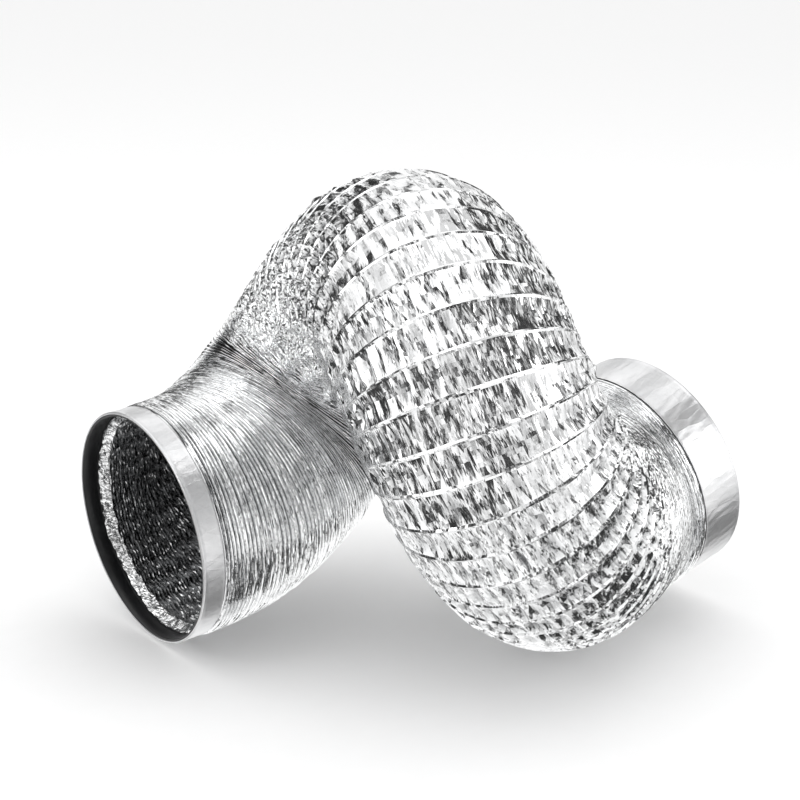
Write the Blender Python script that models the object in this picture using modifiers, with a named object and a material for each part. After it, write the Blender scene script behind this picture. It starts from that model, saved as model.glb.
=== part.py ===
"""Flexible foil air duct, 150 mm nominal bore, lying in one and a quarter loops.

The duct is two plies of foil with one spring wire wound between them.  It is
squeezed into fine pleats at both ends and pulled out along the loop, and each
end is stiffened by a plastic ring inside and a band of foil tape outside.
All sizes are metres, +Z is up, and the duct lies on the plane z = 0.
"""
import math

import bmesh
import bpy
import numpy as np
from mathutils import Vector

# ---------------------------------------------------------------- driving sizes
SIDES = 16                  # flats round a foil ply and corners in a turn of wire
ROW_STEP = 0.020            # length of one row of flats along the route
GAP = 0.0003                # clearance between pieces that touch
CORNER_TOLERANCE = 1e-6     # a turn this close to a corner is at the corner

INNER_PLY_RADIUS = 0.0763   # outside of the inner ply, for a bore of 152 mm
OUTER_PLY_RADIUS = 0.0783   # outside of the outer ply
PLY_WALL = 0.0004
WIRE_PATH_RADIUS = 0.0771   # centre of the wire, between the plies
WIRE_RADIUS = 0.0005
WIRE_PITCH = 0.0145         # one turn of wire for this length of route

BAND_SIDES = 48
BAND_OUTER = 0.0775         # foil tape round each end
BAND_INNER = 0.0765
RING_OUTER = 0.0762         # plastic stiffening ring inside the tape
RING_INNER = 0.0748
RING_LENGTH = 0.0130
RING_INSET = 0.0005         # the ring sits just inside the rim
INLET_BAND_LENGTH = 0.015
OUTLET_BAND_LENGTH = 0.033

# Control cage of the centreline, from the inlet's band to the outlet's band.
ROUTE_CAGE = (
    (-0.171, -0.024, 0.079),    # out of the inlet band, along the floor
    (-0.134, 0.004, 0.084),
    (-0.104, 0.053, 0.104),     # turning up, behind
    (-0.071, 0.074, 0.146),
    (-0.048, 0.067, 0.191),
    (-0.027, 0.037, 0.225),     # over the crown, coming forward
    (-0.009, -0.010, 0.238),
    (0.007, -0.058, 0.222),
    (0.025, -0.088, 0.183),     # down the front
    (0.047, -0.091, 0.137),
    (0.070, -0.069, 0.100),
    (0.086, -0.028, 0.077),     # the belly, on the floor
    (0.109, 0.036, 0.077),
    (0.138, 0.060, 0.087),      # into the outlet band
)
ROUTE_SAMPLES = 80              # samples in each span of the centreline
# Puts the origin under the middle of the whole duct, on the floor it lies on.
ROUTE_OFFSET = (0.0079, 0.0090, 0.0005)

# Stretches of the duct wall, in order from the inlet: name, far end in metres
# along the route, and the body that carries it.  The ones named as pleats, bend
# or waist change shape when a joint moves, and the others keep their shape.
STRETCHES = (
    ("inlet_pleats", 0.040, "inlet_leg"),
    ("inlet_leg", 0.078, "inlet_leg"),
    ("inlet_bend", 0.118, "rise"),
    ("rise", 0.190, "rise"),
    ("shoulder_bend", 0.226, "crown"),
    ("crown", 0.300, "crown"),
    ("crown_bend", 0.336, "descent"),
    ("descent", 0.400, "descent"),
    ("waist", 0.440, "belly"),
    ("belly_front", 0.525, "belly"),
    ("belly", 0.610, "belly"),
    ("outlet_bend", 0.628, "belly"),
    ("outlet_leg", 0.642, "outlet_leg"),
    ("outlet_pleats", None, "outlet_leg"),
)
# Where each body's joint stands on the route.  The two ends slide along the
# route, the belly is the root, and the rest hinge on the outside of their bend,
# where the foil is already pulled out: the squeezed pleats on the inside open.
JOINT_STATIONS = {
    "inlet_end": 0.0,
    "inlet_leg": 0.098,
    "rise": 0.208,
    "crown": 0.318,
    "descent": 0.420,
    "belly": 0.590,
    "outlet_leg": 0.619,
    "outlet_end": None,
}
HINGED_BODIES = ("inlet_leg", "rise", "crown", "descent", "outlet_leg")


# ---------------------------------------------------------------- the centreline
def centreline(cage):
    """A uniform cubic B-spline through the cage's two end points.

    One phantom point beyond each end, the mirror of its neighbour, makes the
    curve start and stop straight, so the stiff bands follow on without a kink.
    """
    cage = np.array(cage) + np.array(ROUTE_OFFSET)
    cage = np.vstack([2 * cage[0] - cage[1], cage, 2 * cage[-1] - cage[-2]])
    t = np.linspace(0.0, 1.0, ROUTE_SAMPLES, endpoint=False)[:, None]
    weights = (
        (1 - t) ** 3,
        3 * t ** 3 - 6 * t ** 2 + 4,
        -3 * t ** 3 + 3 * t ** 2 + 3 * t + 1,
        t ** 3,
    )
    spans = []
    for first in range(len(cage) - 3):
        spans.append(sum(w * cage[first + k] for k, w in enumerate(weights)) / 6)
    spans.append(cage[-2][None])
    points = np.vstack(spans)
    steps = np.linalg.norm(np.diff(points, axis=0), axis=1)
    return points, np.concatenate([[0.0], np.cumsum(steps)])


def carried_frames(points):
    """Unit tangent, side and up at every sample, carried along without twist."""
    tangent = np.gradient(points, axis=0)
    tangent /= np.linalg.norm(tangent, axis=1)[:, None]
    side = np.empty_like(points)
    previous = np.cross(tangent[0], (0.0, 0.0, 1.0))
    for i, direction in enumerate(tangent):
        previous = previous - direction * previous.dot(direction)
        previous /= np.linalg.norm(previous)
        side[i] = previous
    return tangent, side, np.cross(side, tangent)


POINTS, LENGTHS = centreline(ROUTE_CAGE)
TANGENT, SIDE, UP = carried_frames(POINTS)
ROUTE_LENGTH = float(LENGTHS[-1])


def along(values, s):
    """A value carried by the route, read at a distance s along it."""
    return np.stack([np.interp(s, LENGTHS, values[:, k]) for k in range(3)], -1)


def joint_place(body):
    """The point that a body's joint passes through."""
    station = JOINT_STATIONS[body]
    station = np.array(ROUTE_LENGTH if station is None else station)
    centre = along(POINTS, station)
    if body not in HINGED_BODIES:
        return centre
    tangent = along(TANGENT, station)
    inward = along(np.gradient(TANGENT, axis=0), station)
    inward -= tangent * inward.dot(tangent) / tangent.dot(tangent)
    return centre - inward * OUTER_PLY_RADIUS / np.linalg.norm(inward)


def stretch_ends():
    """Start and end of each stretch, in metres along the route."""
    ends = [row[1] or ROUTE_LENGTH for row in STRETCHES]
    return list(zip([0.0] + ends[:-1], ends))


def row_stations(start, end):
    """Distances of the rows of corners that a stretch of wall is built on."""
    rows = max(1, round((end - start) / ROW_STEP))
    return np.linspace(start, end, rows + 1)


ALL_ROWS = np.unique(np.concatenate([row_stations(a, b) for a, b in stretch_ends()]).round(9))


def wall_point(s, turn, radius):
    """A point of the faceted wall: straight between two rows and two corners."""
    near = np.clip(np.searchsorted(ALL_ROWS, s, side="right") - 1, 0, len(ALL_ROWS) - 2)
    low, high = ALL_ROWS[near], ALL_ROWS[near + 1]
    corner_before = np.floor(np.asarray(turn) * SIDES + CORNER_TOLERANCE)

    def ring_corner(station, corner):
        angle = 2 * math.pi * corner[..., None] / SIDES
        spoke = along(SIDE, station) * np.cos(angle) + along(UP, station) * np.sin(angle)
        return along(POINTS, station) + radius * spoke

    def ring_edge(station):
        share = (turn * SIDES - corner_before)[..., None]
        before = ring_corner(station, corner_before)
        return before + (ring_corner(station, corner_before + 1) - before) * share

    share = ((s - low) / (high - low))[..., None]
    return ring_edge(low) * (1 - share) + ring_edge(high) * share


# ---------------------------------------------------------------- building tools
def material(name, colour, roughness, metallic):
    """A Principled material with one colour."""
    made = bpy.data.materials.new(name)
    made.use_nodes = True
    shader = made.node_tree.nodes["Principled BSDF"]
    shader.inputs["Base Color"].default_value = (*colour, 1.0)
    shader.inputs["Roughness"].default_value = roughness
    shader.inputs["Metallic"].default_value = metallic
    return made


def place(made, body, finish):
    """Put an object in the collection, under its body's empty."""
    made.data.materials.append(finish)
    made.parent = BODY_EMPTIES[body]
    COLLECTION.objects.link(made)
    return made


def foil_ply(name, body, start, end, radius, finish):
    """One stretch of a ply: a loft of rings along the route, given a wall."""
    rows = row_stations(start, end)
    rows[0] += GAP / 2
    rows[-1] -= GAP / 2
    turns = np.arange(SIDES) / SIDES
    pivot = np.array(BODY_EMPTIES[body].location)
    loft = bmesh.new()
    rings = []
    for station in rows:
        corners = wall_point(np.full(SIDES, station), turns, radius) - pivot
        rings.append([loft.verts.new(corner) for corner in corners])
    for ring, following in zip(rings, rings[1:]):
        for k in range(SIDES):
            after = (k + 1) % SIDES
            loft.faces.new((ring[k], following[k], following[after], ring[after]))
    mesh = bpy.data.meshes.new(name)
    loft.to_mesh(mesh)
    loft.free()
    made = place(bpy.data.objects.new(name, mesh), body, finish)
    wall = made.modifiers.new("wall", "SOLIDIFY")
    wall.thickness = PLY_WALL
    wall.offset = -1.0
    wall.use_even_offset = True
    return made


def wire_coil(name, body, start, end, finish):
    """One stretch of the spring wire: a helix whose corners meet the plies' rows."""
    cut = GAP / (2 * math.pi * WIRE_PATH_RADIUS)
    first, last = start / WIRE_PITCH + cut, end / WIRE_PITCH - cut
    turns = np.arange(math.ceil(first * SIDES), math.floor(last * SIDES) + 1) / SIDES
    turns = np.concatenate([[first], turns, [last]])
    turns = turns[np.concatenate([[True], np.diff(turns) > 0.2 / SIDES])]
    clear = WIRE_RADIUS + 2 * GAP
    stations = np.clip(turns * WIRE_PITCH, clear, ROUTE_LENGTH - clear)
    corners = wall_point(stations, turns, WIRE_PATH_RADIUS)
    corners = corners - np.array(BODY_EMPTIES[body].location)
    curve = bpy.data.curves.new(name, "CURVE")
    curve.dimensions = "3D"
    curve.bevel_depth = WIRE_RADIUS
    curve.bevel_resolution = 0
    curve.use_fill_caps = True
    spline = curve.splines.new("POLY")
    spline.points.add(len(corners) - 1)
    for point, corner in zip(spline.points, corners):
        point.co = (*corner, 1.0)
    return place(bpy.data.objects.new(name, curve), body, finish)


def collar(name, body, outward, near, far, outer, inner, finish):
    """A round band on an end of the duct: a rectangle turned about the axis.

    near and far are measured along outward from the end of the route.
    """
    profile = ((outer, far), (outer, near), (inner, near), (inner, far))
    mesh = bpy.data.meshes.new(name)
    edges = [(0, 1), (1, 2), (2, 3), (3, 0)]
    mesh.from_pydata([(x, 0.0, z) for x, z in profile], edges, [])
    made = place(bpy.data.objects.new(name, mesh), body, finish)
    made.rotation_euler = outward.to_track_quat("Z", "Y").to_euler()
    turn = made.modifiers.new("turn", "SCREW")
    turn.steps = BAND_SIDES
    turn.render_steps = BAND_SIDES
    turn.use_merge_vertices = True
    turn.merge_threshold = 0.00001
    return made


# ---------------------------------------------------------------- the duct
for old in list(bpy.data.objects):
    bpy.data.objects.remove(old, do_unlink=True)

COLLECTION = bpy.data.collections.new("flexible_air_duct")
bpy.context.scene.collection.children.link(COLLECTION)

FOIL_OUTER = material("foil_outer", (0.80, 0.81, 0.82), 0.25, 1.0)
FOIL_INNER = material("foil_inner", (0.55, 0.56, 0.57), 0.30, 1.0)
SPRING_WIRE = material("spring_wire", (0.62, 0.62, 0.60), 0.35, 1.0)
FOIL_TAPE = material("foil_tape", (0.78, 0.79, 0.80), 0.20, 1.0)
BLACK_PLASTIC = material("black_plastic", (0.015, 0.015, 0.016), 0.40, 0.0)

BODY_EMPTIES = {}
for body in JOINT_STATIONS:
    empty = bpy.data.objects.new("body_" + body, None)
    empty.location = joint_place(body)
    empty.empty_display_size = 0.02
    COLLECTION.objects.link(empty)
    BODY_EMPTIES[body] = empty

for (stretch, _, body), (start, end) in zip(STRETCHES, stretch_ends()):
    foil_ply(stretch + "_inner_ply", body, start, end, INNER_PLY_RADIUS, FOIL_INNER)
    wire_coil(stretch + "_wire", body, start, end, SPRING_WIRE)
    foil_ply(stretch + "_outer_ply", body, start, end, OUTER_PLY_RADIUS, FOIL_OUTER)

ENDS = (
    ("inlet", Vector(-TANGENT[0]), INLET_BAND_LENGTH),
    ("outlet", Vector(TANGENT[-1]), OUTLET_BAND_LENGTH),
)
for end_name, outward, band_length in ENDS:
    end_body = end_name + "_end"
    collar(end_name + "_tape_band", end_body, outward, GAP, band_length,
           BAND_OUTER, BAND_INNER, FOIL_TAPE)
    ring_far = band_length - RING_INSET
    collar(end_name + "_stiffening_ring", end_body, outward, ring_far - RING_LENGTH, ring_far,
           RING_OUTER, RING_INNER, BLACK_PLASTIC)
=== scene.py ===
# %% [markdown]
# # A flexible foil duct
#
# The duct is two plies of thin metallised foil with one long spring wire wound
# between them.  Where the wire's turns are squeezed together the foil folds
# into fine pleats, and where they are pulled apart it crumples into flat little
# facets.  Both ends are stiffened by a black plastic ring and wrapped in tape.
#
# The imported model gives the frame: where every stretch of wall lies and which
# body it moves with.  This script makes the foil, the wire, the rings and the
# tape as surfaces on grids, and gives each a finish.

# %% Load the frame
import math

import bpy
import numpy as np
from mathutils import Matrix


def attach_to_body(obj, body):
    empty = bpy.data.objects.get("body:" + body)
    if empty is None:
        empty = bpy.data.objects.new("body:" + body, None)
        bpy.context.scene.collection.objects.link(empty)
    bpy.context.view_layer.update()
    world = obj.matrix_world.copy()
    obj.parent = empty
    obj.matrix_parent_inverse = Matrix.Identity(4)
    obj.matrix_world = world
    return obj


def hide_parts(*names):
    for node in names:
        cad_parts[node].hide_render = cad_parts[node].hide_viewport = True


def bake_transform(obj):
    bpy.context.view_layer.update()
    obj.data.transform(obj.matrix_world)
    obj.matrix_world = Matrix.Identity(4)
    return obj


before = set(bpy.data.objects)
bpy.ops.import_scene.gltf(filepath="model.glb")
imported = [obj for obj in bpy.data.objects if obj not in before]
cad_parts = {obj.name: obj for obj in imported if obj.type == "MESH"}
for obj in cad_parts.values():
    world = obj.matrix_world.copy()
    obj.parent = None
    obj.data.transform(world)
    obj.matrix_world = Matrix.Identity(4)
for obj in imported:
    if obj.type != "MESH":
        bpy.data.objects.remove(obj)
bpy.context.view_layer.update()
SEED = 20
print("nodes in the frame:", len(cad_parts))

# %% [markdown]
# ## The route
#
# Everything is carried along one smooth centreline.  It could be a Blender
# curve, but the foil needs a point and a direction at any distance along it, so
# the curve is worked out here: a cubic B-spline through a short control cage.
# The stiff bands go straight on from both ends of it.

# %% Sizes and the centreline's cage
INLET_BAND_LENGTH = 0.015
OUTLET_BAND_LENGTH = 0.033
BAND_OUTER = 0.0775
BAND_INNER = 0.0764
RING_OUTER = 0.0762
RING_INNER = 0.0748
RING_LENGTH = 0.0130
RING_INSET = 0.0005
ROUTE_OFFSET = np.array([0.0079, 0.0090, 0.0005])
ROUTE_CAGE = np.array([
    (-0.171, -0.024, 0.079), (-0.134, 0.004, 0.084), (-0.104, 0.053, 0.104),
    (-0.071, 0.074, 0.146), (-0.048, 0.067, 0.191), (-0.027, 0.037, 0.225),
    (-0.009, -0.010, 0.238), (0.007, -0.058, 0.222), (0.025, -0.088, 0.183),
    (0.047, -0.091, 0.137), (0.070, -0.069, 0.100), (0.086, -0.028, 0.077),
    (0.109, 0.036, 0.077), (0.138, 0.060, 0.087),
]) + ROUTE_OFFSET
SPAN_SAMPLES = 80


# %% Centreline, directions and bend
def unit(vectors):
    """Each vector divided by its own length."""
    return vectors / np.linalg.norm(vectors, axis=-1, keepdims=True)


def centreline(cage):
    """A uniform cubic B-spline that starts and stops straight at the cage's ends.

    Each span is the cage's four nearest points weighted by (1-t)^3,
    3t^3-6t^2+4, -3t^3+3t^2+3t+1 and t^3, all over six.
    """
    cage = np.vstack([2 * cage[0] - cage[1], cage, 2 * cage[-1] - cage[-2]])
    t = np.linspace(0.0, 1.0, SPAN_SAMPLES, endpoint=False)[:, None]
    weights = ((1 - t) ** 3, 3 * t ** 3 - 6 * t ** 2 + 4,
               -3 * t ** 3 + 3 * t ** 2 + 3 * t + 1, t ** 3)
    spans = [sum(w * cage[i + k] for k, w in enumerate(weights)) / 6
             for i in range(len(cage) - 3)]
    return np.vstack(spans + [cage[-2][None]])


def carried_side(tangent):
    """A direction square to the tangent, carried along the route without twist."""
    side = np.empty_like(tangent)
    previous = np.cross(tangent[0], (0.0, 0.0, 1.0))
    for i, direction in enumerate(tangent):
        previous = unit(previous - direction * previous.dot(direction))
        side[i] = previous
    return side


def lengthened(points, before, after, step=0.001):
    """The same points with straight runs added at both ends."""
    back = unit(points[0] - points[1])
    on = unit(points[-1] - points[-2])
    lead = np.arange(before, 0.0, -step)[:, None]
    tail = np.arange(step, after + step, step)[:, None]
    return np.vstack([points[0] + back * lead, points, points[-1] + on * tail])


core = centreline(ROUTE_CAGE)
ROUTE_LENGTH = float(np.linalg.norm(np.diff(core, axis=0), axis=1).sum())
POINTS = lengthened(core, 0.02, 0.04)
STEPS = np.linalg.norm(np.diff(POINTS, axis=0), axis=1)
LENGTHS = np.concatenate([[0.0], np.cumsum(STEPS)])
LENGTHS -= LENGTHS[np.argmin(np.linalg.norm(POINTS - core[0], axis=1))]
TANGENT = unit(np.gradient(POINTS, LENGTHS, axis=0))
SIDE = carried_side(TANGENT)
UP = np.cross(SIDE, TANGENT)
BEND = np.gradient(TANGENT, LENGTHS, axis=0)
print("route length between the bands:", round(ROUTE_LENGTH, 4))


def along(values, s):
    """What the route carries, read at distances s along it."""
    return np.stack([np.interp(s, LENGTHS, values[:, k]) for k in range(3)], -1)


# %% [markdown]
# ## The wire's pitch
#
# One helix runs from end to end.  Its pitch says how far the foil is pulled
# out: a couple of millimetres in the squeezed legs, about fourteen over the
# loop.  Counting turns along the route turns the pitch into a position.

# %% Pitch and turns
PITCH_KNOTS = np.array([
    (-0.020, 0.0024), (0.080, 0.0024), (0.125, 0.0034), (0.170, 0.0060),
    (0.230, 0.0100), (0.290, 0.0140), (0.430, 0.0140), (0.470, 0.0118),
    (0.510, 0.0105), (0.560, 0.0060), (0.600, 0.0030), (0.700, 0.0026),
])
FOIL_START = -0.0012        # the foil runs on under the tape at both ends
FOIL_END = ROUTE_LENGTH + 0.0100


def pitch_at(s):
    """Distance between turns of wire, from the knots, straight between them."""
    return np.interp(s, PITCH_KNOTS[:, 0], PITCH_KNOTS[:, 1])


S_TABLE = np.linspace(-0.020, ROUTE_LENGTH + 0.040, 8000)
TURN_TABLE = np.concatenate([[0.0], np.cumsum(
    np.diff(S_TABLE) / pitch_at((S_TABLE[1:] + S_TABLE[:-1]) / 2))])
TURN_TABLE -= np.interp(FOIL_START, S_TABLE, TURN_TABLE)


def turns_at(s):
    """Turns of wire from the foil's start to a distance along the route."""
    return np.interp(s, S_TABLE, TURN_TABLE)


def station_at(turns):
    """Distance along the route after that many turns of wire."""
    return np.interp(turns, TURN_TABLE, S_TABLE)


TOTAL_TURNS = float(turns_at(FOIL_END))
print("turns of wire:", round(TOTAL_TURNS, 1))


# %% [markdown]
# ## The foil as a ribbon
#
# A real ply is a ribbon of foil wound in a helix, each turn's far edge lapped
# over the next turn's near edge along the wire.  The mesh is made the same way:
# columns run along the ribbon and rows run across it, so that pleats follow the
# wire.  A plain tube grid would cut every pleat at a slant instead.  The crumpled
# look comes from straight-sided folds laid over one another, not from noise,
# because foil keeps flat facets between sharp creases.


# %% Folds and waves along the wire
def wave(seed, turn, knots_per_turn):
    """A slow wave between -1 and 1, eased from each knot's level to the next."""
    rng = np.random.default_rng(seed)
    place = np.clip((turn + 1) * knots_per_turn, 0.0, None)
    level = rng.uniform(-1.0, 1.0, int((TOTAL_TURNS + 4) * knots_per_turn) + 4)
    near = place.astype(int)
    share = place - near
    share = share * share * (3 - 2 * share)
    return level[near] * (1 - share) + level[near + 1] * share


def zigzag(seed, turn, knots_per_turn):
    """A folded line: straight between uneven knots that swing between -1 and 1."""
    rng = np.random.default_rng(seed)
    knots = int((TOTAL_TURNS + 4) * knots_per_turn) + 4
    place = (np.arange(knots) + rng.uniform(-0.36, 0.36, knots)) / knots_per_turn - 1
    swing = np.where(np.arange(knots) % 2 == 0, -1.0, 1.0) * rng.uniform(0.25, 1.0, knots)
    return np.interp(turn, place, swing)


def loose_along(turn):
    """How far a turn of wire has slipped along the duct, in pitches."""
    return 0.07 * wave(SEED + 1, turn, 3.3)


def loose_out(turn):
    """How far a turn of wire stands out of round, in metres."""
    return 0.0004 * wave(SEED + 2, turn, 5.0)


# %% The wall's own directions
WALL_RADIUS = 0.0772
LEAST_STRETCH = 0.08        # the tightest the inside of a bend is taken to be
CREST_UNDER_TAPE = 0.0764
CREST_SWELL = 0.0019        # how much further out the squeezed foil stands in the open
CREST_DRAW = 0.0028         # how much nearer the route pulled-out foil lies than squeezed foil
TAPE_FADE = (0.0004, 0.0034)
SQUEEZED_PITCH = 0.0024
PULLED_PITCH = 0.0140
OPENING_GAP = (0.0034, 0.0085)      # from these gaps between turns the foil starts, and is, opened


def wall_frame(s, angle):
    """The spoke at an angle round the route, and how far the bend stretches the wall there.

    The stretch is one minus the radius times the bend's pull along the spoke.
    """
    spoke = along(SIDE, s) * np.cos(angle)[..., None] + along(UP, s) * np.sin(angle)[..., None]
    stretch = np.clip(1.0 - WALL_RADIUS * (along(BEND, s) * spoke).sum(-1), LEAST_STRETCH, 2.0)
    return spoke, stretch


def ease(value, low, high):
    """0 below low, 1 above high and straight in between."""
    return np.clip((value - low) / (high - low), 0.0, 1.0)


def under_tape(s):
    """0 under the tape at both ends, 1 in the open."""
    t = ease(np.minimum(s, ROUTE_LENGTH - s), *TAPE_FADE)
    return t * t * (3 - 2 * t)


def crest_radius(s, pitch):
    """The outer ply's radius over the wire: a stretched coil is slightly thinner."""
    pulled = ease(pitch, SQUEEZED_PITCH, PULLED_PITCH)
    return CREST_UNDER_TAPE + (CREST_SWELL - CREST_DRAW * pulled) * under_tape(s)


# %% [markdown]
# ## How the foil folds
#
# Foil between two turns of wire has a fixed width.  Where the turns are close,
# it folds straight in, so that only rounded crests show with a dark slit between
# them.  Where they are far apart it is almost flat, but the folds it was packed
# in stay in it: leaf-shaped creases that run from each wire towards the next and
# interleave half way.  On the inside of a bend the spare foil stands out between
# the wires in petals.

# %% The outer ply's height
SLIT_DEPTH = 0.0036
SAG_DEPTH = 0.0026
LEAF_HEIGHT = 0.0043
PETAL_HEIGHT = 0.0085
FLAT_GAP = 0.0380           # wires this far apart leave the foil nearly flat
CREST_DIP = 0.00022         # how far a squeezed pleat's rounded top falls towards its slit
RIDGE_HEIGHT = 0.00045      # how far the wire stands out under opened foil
GRAIN_HEIGHT = 0.00002
PETAL_PITCHES = (0.0044, 0.0080)    # petals appear between these pitches


def hump(u, middle):
    """0 at both wires and 1 at the middle, straight between."""
    return np.minimum(u / middle, (1 - u) / (1 - middle))


def outer_depth(turn, u, pitch, stretch, grain):
    """How far the outer ply lies below the crest, in metres, and how open it is.

    Squeezed: a rounded crest and a slit.  Opened: a shallow sag, plus leaf
    creases from each wire, minus petals where the wall is spare.
    """
    gap = pitch * stretch
    opened = ease(gap, *OPENING_GAP)
    slack = 1 - ease(gap, 0.0050, FLAT_GAP)
    middle = 0.5 + 0.13 * zigzag(SEED + 3, turn, 46) * opened
    tent = hump(u, middle)

    uneven = 0.62 + 0.45 * wave(SEED + 4, turn, 21) + 0.25 * wave(SEED + 5, turn, 63)
    slit = ease(tent, 0.50, 1.0) * uneven
    squeezed = CREST_DIP * tent ** 2 + SLIT_DEPTH * np.clip(slit, 0.02, 1.0)

    sag = SAG_DEPTH * tent ** 0.75 * (0.35 + 0.65 * slack) * (0.75 + 0.35 * wave(SEED + 6, turn, 12))
    lean = 0.0035 * wave(SEED + 7, turn, 17) * (u - 0.5)
    strength = 0.62 + 0.38 * wave(SEED + 8, turn, 29)
    near_leaf = zigzag(SEED + 9, turn + lean, 98) * hump(u, 0.32)
    far_leaf = zigzag(SEED + 10, turn + lean, 92) * hump(u, 0.68)
    long_leaf = 0.7 * zigzag(SEED + 11, turn - 1.6 * lean, 52) * tent
    small_leaf = 0.06 * zigzag(SEED + 14, turn - 3.0 * lean, 190) * np.abs(np.sin(2 * math.pi * u))
    leaves = 0.6 * LEAF_HEIGHT * (0.55 + 0.45 * slack) * strength \
        * (near_leaf + far_leaf + long_leaf + small_leaf)

    spare = ease(1.04 - stretch, 0.0, 0.50) * ease(pitch, *PETAL_PITCHES)
    petal = ease(zigzag(SEED + 12, turn, 54) + 0.45 * wave(SEED + 13, turn, 9), -0.45, 1.2)
    petals = PETAL_HEIGHT * petal * spare * hump(u, 0.5) ** 0.8

    crumple = grain * ease(tent, 0.0, 0.3) * GRAIN_HEIGHT
    ridge = RIDGE_HEIGHT * (u == 0.0) * opened
    lively = np.maximum(opened, 0.7 * spare)
    return squeezed * (1 - opened) + sag * opened - leaves * lively - petals - crumple - ridge, opened


# %% The inner ply's height
INNER_GAP = 0.0015          # the inner ply starts this far below the outer crest
INNER_FOLD = 0.0038
INNER_UNEVEN = 0.0030
INNER_OPEN_FOLD = 0.0046
INNER_CREASE = 0.0016
INNER_GRAIN = 0.0004


def inner_depth(turn, u, pitch, stretch, grain):
    """How far the inner ply lies below the outer ply's crest, in metres, and how open it is.

    Squeezed: one deep fold, uneven from turn to turn.  Opened: a shallower
    fold with short creases over it.
    """
    gap = pitch * stretch
    opened = ease(gap, *OPENING_GAP)
    middle = 0.5 + 0.26 * zigzag(SEED + 20, turn, 52)
    tent = hump(u, middle)
    uneven = 0.62 + 0.30 * zigzag(SEED + 21, turn, 64) + 0.26 * wave(SEED + 22, turn, 16)
    squeezed = INNER_FOLD * tent ** 0.8 + INNER_UNEVEN * tent * uneven
    folded = INNER_OPEN_FOLD * hump(u, 0.5) ** 0.7 + INNER_CREASE * tent * (1.0 + zigzag(SEED + 23, turn, 90))
    crumple = grain * ease(tent, 0.0, 0.4) * INNER_GRAIN
    return INNER_GAP + squeezed * (1 - opened) + folded * opened + np.abs(crumple), opened


# %% [markdown]
# ## Placing the foil
#
# The height turns into a point by going out along the spoke and along the
# route.  Random shifts of each point break up the grid, but they fade to nothing
# at the wire and at the ends of a piece, where the next piece has to meet it.


# %% Ribbon points
def rows_across(rows, pitch):
    """Row positions from 0 to 1: closest together at the wire when it is opened out."""
    even = np.arange(rows) / rows
    opened = ease(pitch, *OPENING_GAP)[:, None]
    shoulder = np.clip(0.0008 / pitch, 0.055, 0.16)[:, None]
    spread = shoulder + (1 - 2 * shoulder) * np.arange(rows - 1)[None, :] / (rows - 2)
    spread = np.concatenate([0 * shoulder, spread], axis=1)
    return even[None, :] * (1 - opened) + spread * opened


def ribbon_points(height, turn, rows, sway):
    """Points of a ply (columns, rows, 3) and the share of full depth at each."""
    rng = np.random.default_rng(SEED + len(turn))
    pitch = pitch_at(station_at(turn + 0.5))
    u = rows_across(rows, pitch)
    pitch = pitch[:, None]
    turns = np.broadcast_to(turn[:, None], u.shape)
    s = station_at(turns + u)
    angle = 2 * math.pi * turns
    _, stretch = wall_frame(s, angle)
    inside = ease(np.minimum(np.arange(len(turn)), np.arange(len(turn))[::-1]), 0.0, 5.0)[:, None]
    grain = rng.uniform(-1.0, 1.0, u.shape) * inside
    depth, opened = height(turns, u, pitch, stretch, grain)

    loose = loose_out(turns) * (1 - u) + loose_out(turns + 1) * u
    slip = (loose_along(turns) * (1 - u) + loose_along(turns + 1) * u) * pitch
    free = ease(hump(u, 0.5), 0.0, 0.4)
    step = turn[1] - turn[0]
    slide = (rng.uniform(-1.0, 1.0, u.shape) * inside * 0.025
             + sway * zigzag(SEED + 30, turns, 58)) * free * pitch
    swing = rng.uniform(-1.0, 1.0, u.shape) * inside * free * 0.12 * step * opened
    spoke, _ = wall_frame(s, angle + 2 * math.pi * swing)
    radius = crest_radius(s, pitch) + (loose - depth) * under_tape(s)
    points = along(POINTS, s + (slip + slide) * under_tape(s)) + radius[..., None] * spoke
    return points, np.clip(depth / 0.005, 0.0, 1.0)


# %% [markdown]
# ## From grids to meshes
#
# Arrays go into a mesh with foreach_set, which is quick even for a hundred
# thousand points.  Each ply then gets a real thickness with Solidify, applied at
# once, because a piece that is going to bend has to have its final mesh.


# %% Mesh helpers
def new_piece(name, points, faces, flat):
    """A mesh object at the origin from arrays of points and of faces."""
    mesh = bpy.data.meshes.new(name)
    mesh.vertices.add(len(points))
    mesh.vertices.foreach_set("co", np.ascontiguousarray(points, np.float32).ravel())
    mesh.loops.add(faces.size)
    mesh.loops.foreach_set("vertex_index", np.ascontiguousarray(faces, np.int32).ravel())
    mesh.polygons.add(len(faces))
    mesh.polygons.foreach_set("loop_start", np.arange(len(faces), dtype=np.int32) * faces.shape[1])
    mesh.update(calc_edges=True)
    if flat:
        mesh.shade_flat()
    else:
        mesh.shade_smooth()
    piece = bpy.data.objects.new(name, mesh)
    bpy.context.scene.collection.objects.link(piece)
    return piece


def carry_value(piece, name, values):
    """Store one number per point, for the finish to read."""
    layer = piece.data.attributes.new(name, "FLOAT", "POINT")
    layer.data.foreach_set("value", np.ascontiguousarray(values, np.float32).ravel())


def give_wall(piece, thickness):
    """Thicken a sheet inwards into a closed body and keep the result as its mesh."""
    wall = piece.modifiers.new("wall", "SOLIDIFY")
    wall.thickness = thickness
    wall.offset = -1.0
    wall.use_rim = True
    graph = bpy.context.evaluated_depsgraph_get()
    final = bpy.data.meshes.new_from_object(piece.evaluated_get(graph), depsgraph=graph)
    piece.modifiers.clear()
    piece.data = final
    return piece


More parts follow.
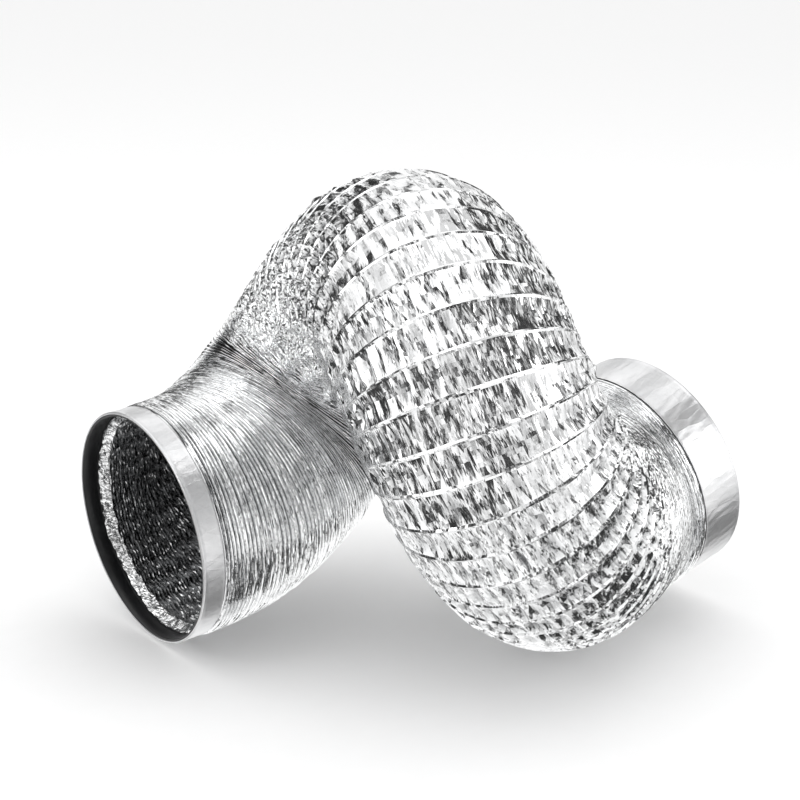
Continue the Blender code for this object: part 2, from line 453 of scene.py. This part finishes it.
# %% Ribbon mesh
def ribbon_piece(name, height, first_turn, last_turn, columns, rows, sway):
    """The stretch of a ply between two turn counts, as flat triangles.

    Row `rows` of a column is row 0 of the column one turn on.  The diagonals
    alternate, so that creases run both ways.
    """
    count = int(round((last_turn - first_turn) * columns)) + 1
    turn = first_turn + np.arange(count) / columns
    points, share = ribbon_points(height, turn, rows, sway)
    edge_turn = turn[-1] + np.arange(1, columns + 1) / columns
    edge, edge_share = ribbon_points(height, edge_turn, rows, sway)
    all_points = np.vstack([points.reshape(-1, 3), edge[:, 0]])
    shares = np.concatenate([share.ravel(), edge_share[:, 0]])

    def corner(a, b):
        """Number of a grid point; the last row is the next turn's first row."""
        on = a + columns
        welded = np.where(on < count, on * rows, count * rows + on - count)
        return np.where(b == rows, welded, a * rows + b)

    a = np.arange(count - 1)[:, None]
    b = np.arange(rows)[None, :]
    near, near_on = corner(a, b), corner(a, b + 1)
    far, far_on = corner(a + 1, b), corner(a + 1, b + 1)
    even = ((a + b) % 2 == 0)[..., None]
    one = np.where(even, np.stack([near, near_on, far_on], -1), np.stack([near, near_on, far], -1))
    two = np.where(even, np.stack([near, far_on, far], -1), np.stack([near_on, far_on, far], -1))
    piece = new_piece(name, all_points, np.concatenate([one.reshape(-1, 3), two.reshape(-1, 3)]), flat=True)
    # The share of depth is stored for the painted shade in the foil finish's folds.
    carry_value(piece, "fold_depth", shares)
    return piece


# %% [markdown]
# ## Where the duct is divided
# The foil is continuous, but the duct has joints.  The belly's piece rides on
# one body.  Every other piece crosses a joint.  For it two planes square to the
# route are worked out, each just clear of one end of the piece, and the distance
# between them is printed, but the piece is not bent between them: it is only
# baked in place and tied to no body. Both planes are worked out so that each
# end of the piece is clear of them, which keeps neighbours together.

# %% Stretches and joints
STRETCHES = (
    # name, first station, last station, bodies, joint station, CAD stretches, outer grid, inner grid
    ("inlet_pleats", FOIL_START, 0.060, ("inlet_end", "inlet_leg"), 0.020,
     ("inlet_pleats", "inlet_leg"), (256, 6), (256, 6)),
    ("inlet_bend", 0.060, 0.154, ("inlet_leg", "rise"), 0.098,
     ("inlet_bend", "rise"), (240, 6), (176, 5)),
    ("shoulder", 0.154, 0.263, ("rise", "crown"), 0.208,
     ("shoulder_bend",), (420, 8), (208, 5)),
    ("crown", 0.263, 0.368, ("crown", "descent"), 0.318,
     ("crown", "crown_bend"), (520, 10), (208, 5)),
    ("waist", 0.368, 0.480, ("descent", "belly"), 0.420,
     ("descent", "waist"), (520, 10), (208, 5)),
    ("belly", 0.480, 0.604, ("belly",), None,
     ("belly_front", "belly"), (340, 7), (208, 5)),
    ("outlet_bend", 0.604, 0.635, ("belly", "outlet_leg"), 0.619,
     ("outlet_bend",), (256, 6), (208, 5)),
    ("outlet_pleats", 0.635, FOIL_END, ("outlet_leg", "outlet_end"), 0.646,
     ("outlet_leg", "outlet_pleats"), (256, 6), (208, 6)),
)


PROBE_RADIUS = 0.080        # just outside the wall
PROBES = 72
PLANE_MARGIN = 0.0005


def bending_planes(first, last, joint):
    """Two points on the route's direction at a joint, and the distance from one to the other.

    The rings of wall at both ends of the stretch are projected on that
    direction; the planes stand just inside the nearest points of the two.
    """
    middle = along(POINTS, joint)
    direction = along(TANGENT, joint)
    turn = np.linspace(0.0, 2 * math.pi, PROBES)
    reach = []
    for station in (max(first, 0.0) + 0.5 * pitch_at(first), min(last, ROUTE_LENGTH)):
        spoke, _ = wall_frame(np.full(PROBES, station), turn)
        ring = along(POINTS, station) + PROBE_RADIUS * spoke
        reach.append((ring - middle) @ direction)
    start, end = reach[0].max() + PLANE_MARGIN, reach[1].min() - PLANE_MARGIN
    return middle + direction * start, middle + direction * end, end - start


def attach(piece, stretch):
    """Make a piece ride on its body; a piece across a joint is only baked in place, and its planes go unused.
    """
    first, last, bodies, joint = stretch[1:5]
    if joint is None:
        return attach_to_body(piece, bodies[0])
    start, end, _ = bending_planes(first, last, joint)
    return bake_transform(piece)


for stretch in STRETCHES:
    if stretch[4] is not None:
        span = bending_planes(stretch[1], stretch[2], stretch[4])[2]
        print(stretch[0], "bends over", round(1000 * span, 1), "mm")


# %% [markdown]
# ## Finishes as sums
#
# A finish is a little network of nodes.  Written as ordinary sums it is much
# easier to follow, so one small class wraps a node's output and turns each
# operator into a Math node.  Every other kind of node comes from its one method.


# %% Shader sums
class Reading:
    """A value in a material's node tree that takes part in ordinary sums."""

    def __init__(self, tree, socket=None):
        self.tree = tree
        self.socket = socket

    def node(self, kind, settings, sockets, output=None):
        """Add a node: its type, its settings, what its sockets hold, and which output is read."""
        made = self.tree.nodes.new(kind)
        for name, value in settings.items():
            if name == "stops":
                self._set_stops(made.color_ramp, value)
            else:
                setattr(made, name, value)
        for name, value in sockets.items():
            wanted = [s for s in made.inputs if s.enabled and name in (s.name, s.identifier)]
            if isinstance(value, Reading):
                self.tree.links.new(value.socket, wanted[0])
            else:
                wanted[0].default_value = value
        outputs = [s for s in made.outputs if s.enabled and output in (None, s.name)]
        return Reading(self.tree, outputs[0] if outputs else None)

    @staticmethod
    def _set_stops(ramp, stops):
        """Give a ramp its places and grey levels."""
        for place, level in stops[1:-1]:
            ramp.elements.new(place)
        for element, (place, level) in zip(ramp.elements, stops):
            element.position = place
            element.color = (level, level, level, 1.0)

    def _sum(self, operation, first, second, clamp=False):
        """A Math node with this operation on two readings or numbers."""
        made = self.tree.nodes.new("ShaderNodeMath")
        made.operation = operation
        made.use_clamp = clamp
        for socket, value in zip(made.inputs, (first, second)):
            if isinstance(value, Reading):
                self.tree.links.new(value.socket, socket)
            else:
                socket.default_value = value
        return Reading(self.tree, made.outputs[0])

    def __add__(self, other):
        return self._sum("ADD", self, other)

    __radd__ = __add__

    def __sub__(self, other):
        return self._sum("SUBTRACT", self, other)

    def __rsub__(self, other):
        return self._sum("SUBTRACT", other, self)

    def __mul__(self, other):
        return self._sum("MULTIPLY", self, other)

    __rmul__ = __mul__

    def __pow__(self, other):
        return self._sum("POWER", self, other)

    def clipped(self):
        """The same value held between 0 and 1."""
        return self._sum("ADD", self, 0.0, clamp=True)


# %% Starting and closing a finish
def new_finish(name):
    """An empty material and the reading that its nodes are added from."""
    material = bpy.data.materials.new(name)
    material.use_nodes = True
    material.node_tree.nodes.clear()
    return material, Reading(material.node_tree)


def close_finish(start, **sockets):
    """Put the Principled shader and the output on the end of a finish."""
    named = {name.replace("_", " "): value for name, value in sockets.items()}
    shader = start.node("ShaderNodeBsdfPrincipled", {}, named)
    start.node("ShaderNodeOutputMaterial", {}, {"Surface": shader})


def tint(start, share, low, high):
    """A colour between two, by a share from 0 to 1."""
    return start.node("ShaderNodeMix", {"data_type": "RGBA"},
                      {"Factor": share, "A": (*low, 1.0), "B": (*high, 1.0)})


# %% [markdown]
# ## Foil
#
# Foil is nearly a mirror.  Its look comes from what it reflects, from how flat
# each little facet is, and from the film of handling marks over it.  So the
# metal stays bright and smooth, with a fine crinkle in its bump and faint smears
# in its roughness and colour.  Its base colour also holds painted shade: it turns
# darker the deeper the foil lies below the crest, down in the folds and sags
# where light is lost between two walls of foil.  Light and dark patches painted
# at random over the open facets would stop it looking like metal.


# %% Foil finish
def foil_finish(name, bright, dim, roughness, crinkle):
    """Bright metal with crinkles and smears, and painted shade that darkens its colour in the folds."""
    material, start = new_finish(name)
    place = start.node("ShaderNodeTexCoord", {}, {}, "Object")
    depth = start.node("ShaderNodeAttribute", {"attribute_name": "fold_depth"}, {}, "Fac").clipped()
    smear = start.node("ShaderNodeTexNoise", {"noise_dimensions": "3D"},
                       {"Vector": place, "Scale": 38.0, "Detail": 4.0, "Roughness": 0.6}, "Fac")
    film = start.node("ShaderNodeTexNoise", {"noise_dimensions": "3D"},
                      {"Vector": place, "Scale": 420.0, "Detail": 3.0, "Roughness": 0.65}, "Fac")
    crease = start.node("ShaderNodeTexVoronoi", {"feature": "DISTANCE_TO_EDGE"},
                        {"Vector": place, "Scale": 310.0, "Randomness": 1.0}, "Distance")
    fine = start.node("ShaderNodeTexNoise", {"noise_dimensions": "3D"},
                      {"Vector": place, "Scale": 1500.0, "Detail": 2.0, "Roughness": 0.5}, "Fac")
    height = crease * 0.6 + film * 0.5 + fine * 0.12
    normal = start.node("ShaderNodeBump", {}, {"Strength": crinkle, "Distance": 0.0006, "Height": height})
    # Painted shade: the base colour darkens with the foil's depth below the crest, standing in for light lost
    # in the folds; the smears make it uneven.
    fold_shade_and_smear = (depth * 1.5 - 0.08 + (smear - 0.5) * 0.35).clipped()
    close_finish(
        start,
        Base_Color=tint(start, fold_shade_and_smear, bright, dim),
        Metallic=1.0,
        Roughness=(roughness + 0.10 * (smear - 0.5) + 0.06 * (film - 0.5) + 0.05 * depth).clipped(),
        Normal=normal,
    )
    return material


# Each foil's second colour is its painted shade deep in the folds; the inner ply's is paler.
FOIL_OUTER = foil_finish("foil outer", (0.94, 0.945, 0.95), (0.36, 0.365, 0.37), 0.12, 0.07)
FOIL_INNER = foil_finish("foil inner", (0.94, 0.945, 0.95), (0.60, 0.605, 0.61), 0.17, 0.25)
print("foil finishes:", FOIL_OUTER.name, "and", FOIL_INNER.name)

# %% [markdown]
# ## Foil tape, black plastic and wire
#
# The tape is the same metal with a dull rolled surface: long faint lines round
# the duct and a few pressed wrinkles.  Its pattern follows the tape, so it reads
# the piece's own map, whose first axis is the distance round it in metres and
# whose second is the distance along it.  The ring is a satin black moulding, and
# the wire a drawn galvanised steel.


# %% Tape finish
def tape_finish():
    """Rolled aluminium tape: lines round the duct, wrinkles, smears."""
    material, start = new_finish("foil tape")
    sheet = start.node("ShaderNodeUVMap", {"uv_map": "sheet"}, {})
    place = start.node("ShaderNodeTexCoord", {}, {}, "Object")
    rolled = start.node("ShaderNodeMapping", {}, {"Vector": sheet, "Scale": (30.0, 2600.0, 1.0)})
    lines = start.node("ShaderNodeTexNoise", {"noise_dimensions": "2D"},
                       {"Vector": rolled, "Scale": 1.0, "Detail": 3.0, "Roughness": 0.6}, "Fac")
    pressed = start.node("ShaderNodeMapping", {}, {"Vector": sheet, "Scale": (150.0, 60.0, 1.0)})
    wrinkle = start.node("ShaderNodeTexVoronoi", {"feature": "DISTANCE_TO_EDGE", "voronoi_dimensions": "2D"},
                         {"Vector": pressed, "Scale": 1.0, "Randomness": 1.0}, "Distance")
    smear = start.node("ShaderNodeTexNoise", {"noise_dimensions": "3D"},
                       {"Vector": place, "Scale": 30.0, "Detail": 5.0, "Roughness": 0.6}, "Fac")
    fine = start.node("ShaderNodeTexNoise", {"noise_dimensions": "3D"},
                      {"Vector": place, "Scale": 700.0, "Detail": 3.0, "Roughness": 0.6}, "Fac")
    edge = (1.0 - 9.0 * wrinkle).clipped()
    height = 0.5 * edge + 0.25 * lines + 0.5 * fine
    normal = start.node("ShaderNodeBump", {}, {"Strength": 0.22, "Distance": 0.0004, "Height": height})
    close_finish(
        start,
        Base_Color=tint(start, (0.15 + 1.4 * (smear - 0.45)).clipped(),
                        (0.90, 0.90, 0.905), (0.66, 0.67, 0.68)),
        Metallic=1.0,
        Roughness=(0.36 + 0.16 * (smear - 0.5) + 0.10 * (lines - 0.5)).clipped(),
        Normal=normal,
    )
    return material


# %% Plastic and wire finishes
def plastic_finish():
    """Satin black moulded plastic with a fine grain and scuffs."""
    material, start = new_finish("black plastic")
    place = start.node("ShaderNodeTexCoord", {}, {}, "Object")
    grain = start.node("ShaderNodeTexNoise", {"noise_dimensions": "3D"},
                       {"Vector": place, "Scale": 2200.0, "Detail": 2.0, "Roughness": 0.5}, "Fac")
    scuff = start.node("ShaderNodeTexNoise", {"noise_dimensions": "3D"},
                       {"Vector": place, "Scale": 90.0, "Detail": 6.0, "Roughness": 0.7}, "Fac")
    normal = start.node("ShaderNodeBump", {}, {"Strength": 0.25, "Distance": 0.0002, "Height": grain})
    worn = (3.0 * (scuff - 0.52)).clipped()
    close_finish(
        start,
        Base_Color=tint(start, worn, (0.010, 0.010, 0.011), (0.030, 0.030, 0.032)),
        Roughness=(0.34 + 0.22 * worn + 0.10 * (grain - 0.5)).clipped(),
        Normal=normal,
    )
    return material


def wire_finish():
    """Galvanised spring wire: grey metal with drawn streaks and dull spangle."""
    material, start = new_finish("spring wire")
    place = start.node("ShaderNodeTexCoord", {}, {}, "Object")
    spangle = start.node("ShaderNodeTexNoise", {"noise_dimensions": "3D"},
                         {"Vector": place, "Scale": 260.0, "Detail": 4.0, "Roughness": 0.6}, "Fac")
    fine = start.node("ShaderNodeTexNoise", {"noise_dimensions": "3D"},
                      {"Vector": place, "Scale": 1800.0, "Detail": 2.0, "Roughness": 0.5}, "Fac")
    normal = start.node("ShaderNodeBump", {}, {"Strength": 0.2, "Distance": 0.0001, "Height": fine})
    close_finish(
        start,
        Base_Color=tint(start, spangle, (0.62, 0.63, 0.64), (0.42, 0.43, 0.44)),
        Metallic=1.0,
        Roughness=(0.30 + 0.20 * (spangle - 0.5)).clipped(),
        Normal=normal,
    )
    return material


TAPE = tape_finish()
PLASTIC = plastic_finish()
WIRE = wire_finish()
print("finishes:", [m.name for m in (TAPE, PLASTIC, WIRE)])


# %% [markdown]
# ## The two plies
#
# Both plies are ribbons on the same helix, each folded its own way, and the inner
# one hangs further in.  Under the tape both are pressed to one radius.  Each is
# cut into the stretches above and given its wall; the belly's piece is tied to
# its body and the others are baked in place.

# %% Make the plies
OUTER_WALL = 0.00025
INNER_WALL = 0.00020


def finish_piece(piece, material, stretch, kind):
    """Give a piece its finish, tie it to its body if it rides on one, bake it in place if it crosses a joint,
    and retire its CAD nodes.
    """
    piece.data.materials.clear()
    piece.data.materials.append(material)
    attach(piece, stretch)
    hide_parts(*[f"{cad}_{kind}" for cad in stretch[5]])
    piece.data.calc_loop_triangles()
    print(piece.name, len(piece.data.loop_triangles), "triangles")


def make_ply(kind, height, wall, material, grid, sway):
    """Every stretch of one ply."""
    for stretch in STRETCHES:
        name, first, last = stretch[:3]
        columns, rows = stretch[grid]
        last_turn = turns_at(last) - (last == FOIL_END)
        sheet = ribbon_piece(f"{name}_foil_{kind}", height, turns_at(first), last_turn, columns, rows, sway)
        finish_piece(give_wall(sheet, wall), material, stretch, f"{kind}_ply")


make_ply("outer", outer_depth, OUTER_WALL, FOIL_OUTER, 6, 0.0)
make_ply("inner", inner_depth, INNER_WALL, FOIL_INNER, 7, 0.35)

# %% [markdown]
# ## The wire
#
# One spring wire lies under every crest.  It is a small ring of points carried
# along the same helix as the foil's first row, so it is never out of step with
# the ridges above it.  Inside a tight bend the crests are narrower than the wire,
# and there the ring is flattened so that it does not come out through the foil.

# %% Make the wire
WIRE_RADIUS = 0.00045
WIRE_POINTS = 52            # points in one turn
WIRE_SIDES = 6
WIRE_CLEARANCE = 0.0001     # between the wire and the inner face of the outer ply
CREST_SHARE = 0.17          # half of the wire's room under a crest, as a share of the gap between turns


def wire_path(turn):
    """Points of the wire's axis at each turn count, its spoke, the way along the duct, and half its width.

    On the inside of a bend the turns crowd closer than the wire is thick, so
    there it is drawn narrower along the duct, to stay inside its own crest.
    """
    s = station_at(turn)
    pitch = pitch_at(station_at(turn + 0.5))
    spoke, stretch = wall_frame(s, 2 * math.pi * turn)
    half_width = np.minimum(WIRE_RADIUS, CREST_SHARE * pitch * stretch)
    under_foil = OUTER_WALL + WIRE_RADIUS + WIRE_CLEARANCE
    radius = crest_radius(s, pitch) + loose_out(turn) * under_tape(s) - under_foil
    slip = loose_along(turn) * pitch * under_tape(s)
    return along(POINTS, s + slip) + radius[:, None] * spoke, spoke, along(TANGENT, s), half_width


def wire_piece(name, first_turn, last_turn):
    """A closed tube along the helix, just under the foil's crest."""
    count = int((last_turn - first_turn) * WIRE_POINTS)
    path, spoke, forward, half_width = wire_path(np.linspace(first_turn, last_turn, count))
    round_wire = np.linspace(0.0, 2 * math.pi, WIRE_SIDES, endpoint=False)[None, :, None]
    outward = WIRE_RADIUS * spoke[:, None] * np.cos(round_wire)
    sideways = half_width[:, None, None] * forward[:, None] * np.sin(round_wire)
    points = path[:, None] + outward + sideways
    a = np.arange(count - 1)[:, None] * WIRE_SIDES
    b = np.arange(WIRE_SIDES)[None, :]
    on = (b + 1) % WIRE_SIDES
    quads = np.stack([a + b, a + WIRE_SIDES + b, a + WIRE_SIDES + on, a + on], -1).reshape(-1, 4)
    last = (count - 1) * WIRE_SIDES
    fan = np.arange(1, WIRE_SIDES - 1)
    faces = np.concatenate([
        quads[:, [0, 1, 2]], quads[:, [0, 2, 3]],
        np.stack([0 * fan, fan, fan + 1], -1),
        np.stack([last + 0 * fan, last + fan + 1, last + fan], -1),
    ])
    return new_piece(name, points.reshape(-1, 3), faces, flat=False)


for stretch in STRETCHES:
    name, first, last = stretch[:3]
    wire = wire_piece(f"{name}_spring_wire", turns_at(max(first, 0.001)), turns_at(min(last, ROUTE_LENGTH)))
    finish_piece(wire, WIRE, stretch, "wire")

# %% [markdown]
# ## Tape bands and stiffening rings
#
# Each end is wrapped in a smooth band of tape, turned over the rim on to the
# black ring inside.  Both are profiles turned round the route: the tape's points
# are then pushed in and out by fine folds, since tape never goes on quite flat.


# %% Turned profiles
def turned(name, rim, way, profile, sides, wrinkle):
    """Turn a closed profile of (distance in from the rim, radius) round the route.

    way is 1 where going in means going on along the route and -1 where it means
    going back.  wrinkle(angle, distance) is a small change of radius.
    """
    profile = np.array(profile[::way])
    angle = np.linspace(0.0, 2 * math.pi, sides, endpoint=False)[:, None]
    distance = np.broadcast_to(profile[None, :, 0], (sides, len(profile)))
    angles = np.broadcast_to(angle, distance.shape)
    s = rim + way * distance
    radius = profile[None, :, 1] + wrinkle(angles, distance)
    spoke, _ = wall_frame(s, angles)
    points = along(POINTS, s) + radius[..., None] * spoke
    rows = len(profile)
    a = np.arange(sides)[:, None]
    b = np.arange(rows)[None, :]
    a_on, b_on = (a + 1) % sides, (b + 1) % rows
    quads = np.stack([a * rows + b, a * rows + b_on, a_on * rows + b_on, a_on * rows + b], -1)
    piece = new_piece(name, points.reshape(-1, 3), quads.reshape(-1, 4), flat=False)

    corner_side = np.stack([a + 0 * b, a + 0 * b, a + 1 + 0 * b, a + 1 + 0 * b], -1)
    girth = 2 * math.pi * BAND_OUTER * corner_side / sides
    length = np.concatenate([[0.0], np.cumsum(np.linalg.norm(np.diff(profile, axis=0), axis=1))])
    run = np.stack([length[b], np.append(length, length[-1] + 0.001)[b + 1]] * 2, -1)[..., [0, 1, 3, 2]]
    run = np.broadcast_to(run, girth.shape)
    sheet = piece.data.uv_layers.new(name="sheet")
    sheet.data.foreach_set("uv", np.stack([girth, run], -1).astype(np.float32).ravel())
    return piece


def no_wrinkle(angle, distance):
    """A moulding is quite round."""
    return 0.0 * angle


def tape_wrinkles(seed, height):
    """Creases that lean across the tape: sharp valleys of a few summed waves."""
    rng = np.random.default_rng(seed)
    waves = rng.integers(5, 46, 9)
    phase = rng.uniform(0.0, 2 * math.pi, 9)
    lean = rng.uniform(-160.0, 160.0, 9)

    def wrinkle(angle, distance):
        """Change of radius where the summed waves are deepest, fading out at the rim."""
        wave = np.cos(waves * angle[..., None] + lean * distance[..., None] + phase)
        return height * (np.abs(wave).mean(-1) - 0.64) * np.clip(distance / 0.003, 0.2, 1.0)

    return wrinkle


# %% Make the bands
LIP = 0.0006                # how far the tape laps over the first pleat


def tape_profile(length):
    """The tape from its turned-over rim to its edge on the pleats, then back inside."""
    over = [(0.0003, 0.07700), (0.0006, 0.07755), (0.0013, 0.07770), (0.0021, 0.07755)]
    out = [(d, BAND_OUTER - 0.0001) for d in np.linspace(0.0030, length - 0.0010, int(length / 0.0012))]
    edge = [(length, 0.07750), (length + LIP, 0.07765), (length + LIP, 0.07745), (length, 0.07700)]
    back = [(d, BAND_INNER + 0.0001) for d in np.linspace(length - 0.0012, 0.0020, 5)]
    turned_in = [(0.0010, 0.07640), (0.0003, 0.07625), (0.0000, 0.07655)]
    return over + out + edge + back + turned_in


def ring_profile():
    """The stiffening ring: a strip with rounded edges and a shallow groove inside."""
    start, end = RING_INSET, RING_INSET + RING_LENGTH
    bevel = 0.0004
    outside = [(start, RING_OUTER - bevel), (start + bevel, RING_OUTER), (end - bevel, RING_OUTER)]
    tail = [(end, RING_OUTER - bevel), (end, RING_INNER + bevel), (end - bevel, RING_INNER)]
    groove = [(end - 0.0022, RING_INNER), (end - 0.0026, RING_INNER + 0.0002),
              (end - 0.0032, RING_INNER + 0.0002), (end - 0.0036, RING_INNER)]
    return outside + tail + groove + [(start + bevel, RING_INNER), (start, RING_INNER + bevel)]


def end_pieces(end, rim, way, length, body, seed):
    """The tape band and the stiffening ring at one end."""
    band = turned(f"{end}_tape", rim, way, tape_profile(length), 384, tape_wrinkles(seed, 0.0005))
    ring = turned(f"{end}_ring", rim, way, ring_profile(), 240, no_wrinkle)
    for piece, material, slot, node in ((band, TAPE, "foil_tape", f"{end}_tape_band"),
                                        (ring, PLASTIC, "black_plastic", f"{end}_stiffening_ring")):
        piece.data.materials.append(material)
        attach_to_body(piece, body)
        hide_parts(node)
        print(piece.name, len(piece.data.polygons), "faces")


end_pieces("inlet", -INLET_BAND_LENGTH, 1, INLET_BAND_LENGTH, "inlet_end", 3)
end_pieces("outlet", ROUTE_LENGTH + OUTLET_BAND_LENGTH, -1, OUTLET_BAND_LENGTH, "outlet_end", 7)

# %% [markdown]
# ## The foil's torn hem
#
# Inside the inlet the ring is laid over the foil, and the foil's cut end stands
# out past it in a torn, crumpled hem.  It is a short sheet turned round the
# route with a zigzag front edge.

# %% Make the hem
HEM_SIDES = 420
HEM_ROWS = 7


def hem_piece():
    """A ragged strip from over the ring's inner edge back on to the pleats."""
    rng = np.random.default_rng(SEED + 40)
    turn = np.arange(HEM_SIDES)[:, None] / HEM_SIDES
    angle = 2 * math.pi * turn
    v = np.linspace(0.0, 1.0, HEM_ROWS)[None, :]
    join = ease(np.minimum(turn, 1 - turn), 0.0, 0.02)
    front = 0.0009 * zigzag(SEED + 41, turn, 46) + 0.0006 * zigzag(SEED + 42, turn, 120) \
        + 0.0010 * wave(SEED + 43, turn, 11)
    back = 0.0010 * wave(SEED + 44, turn, 23) + 0.0008 * zigzag(SEED + 45, turn, 60)
    s = (-0.0030 + front * join) * (1 - v) + (0.0034 + back * join) * v
    crumple = (0.0007 * zigzag(SEED + 46, turn, 95) + 0.0006 * wave(SEED + 47, turn, 31)) * join
    radius = 0.07455 - 0.0030 * v ** 1.3 + crumple * np.sin(math.pi * np.sqrt(v))
    radius = radius - np.abs(rng.normal(0.0, 0.00015, s.shape)) * join
    angles = np.broadcast_to(angle, s.shape)
    spoke, _ = wall_frame(s, angles)
    points = along(POINTS, s) + radius[..., None] * spoke
    a = np.arange(HEM_SIDES)[:, None]
    b = np.arange(HEM_ROWS - 1)[None, :]
    a_on = (a + 1) % HEM_SIDES
    near, near_on = a * HEM_ROWS + b, a * HEM_ROWS + b + 1
    far, far_on = a_on * HEM_ROWS + b, a_on * HEM_ROWS + b + 1
    faces = np.concatenate([np.stack([near, near_on, far_on], -1).reshape(-1, 3),
                            np.stack([near, far_on, far], -1).reshape(-1, 3)])
    hem = new_piece("inlet_foil_hem", points.reshape(-1, 3), faces, flat=True)
    carry_value(hem, "fold_depth", np.zeros(len(hem.data.vertices)))
    give_wall(hem, 0.00012)
    hem.data.materials.clear()
    hem.data.materials.append(FOIL_INNER)
    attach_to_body(hem, "inlet_end")
    return hem


print(hem_piece().name, "made")

# %% [markdown]
# ## Floor, light and camera
#
# A mirror-like object shows the room rather than the lamp, so two views of the
# room are kept apart.  The camera and the matt surfaces see plain white.  Only
# mirror rays see a pattern of bright panels and dark gaps, and the gaps put the
# dark facets in the foil.  The floor is hidden from mirror rays, so that it does
# not wash them out, and three weak soft boxes give the plastic and tape a sheen.
# Under a different light the foil keeps its folds but not this contrast.

# %% Floor
FLOOR_HALF = 14.0
FLOOR_LEVEL = -0.0012


def make_floor():
    """A large pale sheet just under the duct."""
    half = FLOOR_HALF
    corners = np.array([(-half, -half, FLOOR_LEVEL), (half, -half, FLOOR_LEVEL),
                        (half, half, FLOOR_LEVEL), (-half, half, FLOOR_LEVEL)])
    floor = new_piece("floor", corners, np.array([[0, 1, 2, 3]]), flat=True)
    material, start = new_finish("pale floor")
    place = start.node("ShaderNodeTexCoord", {}, {}, "Object")
    grain = start.node("ShaderNodeTexNoise", {"noise_dimensions": "3D"},
                       {"Vector": place, "Scale": 60.0, "Detail": 3.0}, "Fac")
    close_finish(start, Base_Color=tint(start, grain, (0.93, 0.93, 0.93), (0.95, 0.95, 0.95)), Roughness=0.9)
    floor.data.materials.append(material)
    floor.visible_glossy = False


make_floor()


# %% Soft boxes
def soft_box(name, place, size, power, aim=(0.0, 0.0, 0.15)):
    """A rectangular soft light aimed at the duct."""
    light = bpy.data.lights.new(name, "AREA")
    light.shape = "RECTANGLE"
    light.size, light.size_y = size
    light.energy = power
    lamp = bpy.data.objects.new(name, light)
    away = unit(np.array(place) - np.array(aim))
    pitch = math.acos(away[2])
    lamp.location = place
    lamp.rotation_euler = (pitch, 0.0, math.atan2(away[1], away[0]) + math.pi / 2)
    bpy.context.scene.collection.objects.link(lamp)
    return lamp


soft_box("overhead box", (0.0, 0.1, 2.2), (2.4, 1.8), 10.0)
soft_box("left box", (-1.9, -0.9, 0.9), (0.9, 1.7), 5.0)
soft_box("right box", (1.9, -0.5, 0.9), (0.5, 1.7), 5.0)


# %% Room
def make_room():
    """A white room for the floor; the metal sees white panels with dim gaps between them."""
    world = bpy.context.scene.world or bpy.data.worlds.new("room")
    bpy.context.scene.world = world
    world.use_nodes = True
    world.node_tree.nodes.clear()
    start = Reading(world.node_tree)
    way = start.node("ShaderNodeTexCoord", {}, {}, "Generated")
    turned_way = start.node("ShaderNodeMapping", {}, {"Vector": way, "Location": (3.1, 1.7, 0.4)})
    panels = start.node("ShaderNodeTexNoise", {"noise_dimensions": "3D"},
                        {"Vector": turned_way, "Scale": 2.3, "Detail": 1.5, "Roughness": 0.5}, "Fac")
    stops = ((0.0, 0.02), (0.43, 0.04), (0.47, 0.50), (0.52, 0.95), (0.60, 1.20), (1.0, 1.3))
    level = start.node("ShaderNodeValToRGB", {"stops": stops}, {"Fac": panels}, "Color")
    shiny = start.node("ShaderNodeLightPath", {}, {}, "Is Glossy Ray")
    seen = start.node("ShaderNodeMix", {"data_type": "RGBA"},
                      {"Factor": shiny, "A": (1.0, 1.0, 1.0, 1.0), "B": level})
    room = start.node("ShaderNodeBackground", {}, {"Color": seen, "Strength": 1.0})
    start.node("ShaderNodeOutputWorld", {}, {"Surface": room})


make_room()
bpy.context.scene.view_settings.view_transform = "Standard"

# %% Camera
CAMERA_PLACE = (-0.0178, -1.1788, 0.5105)
CAMERA_PITCH = 16.5         # degrees down from level
CAMERA_ROLL = -1.4
CAMERA_LENS = 85.8          # millimetres, with the sensor below
CAMERA_SENSOR = 36.0
camera_lens = bpy.data.cameras.new("camera")
camera_lens.lens = CAMERA_LENS
camera_lens.sensor_width = CAMERA_SENSOR
camera = bpy.data.objects.new("camera", camera_lens)
camera.location = CAMERA_PLACE
camera.rotation_euler = (math.radians(90.0 - CAMERA_PITCH), math.radians(CAMERA_ROLL), 0.0)
bpy.context.scene.collection.objects.link(camera)
bpy.context.scene.camera = camera
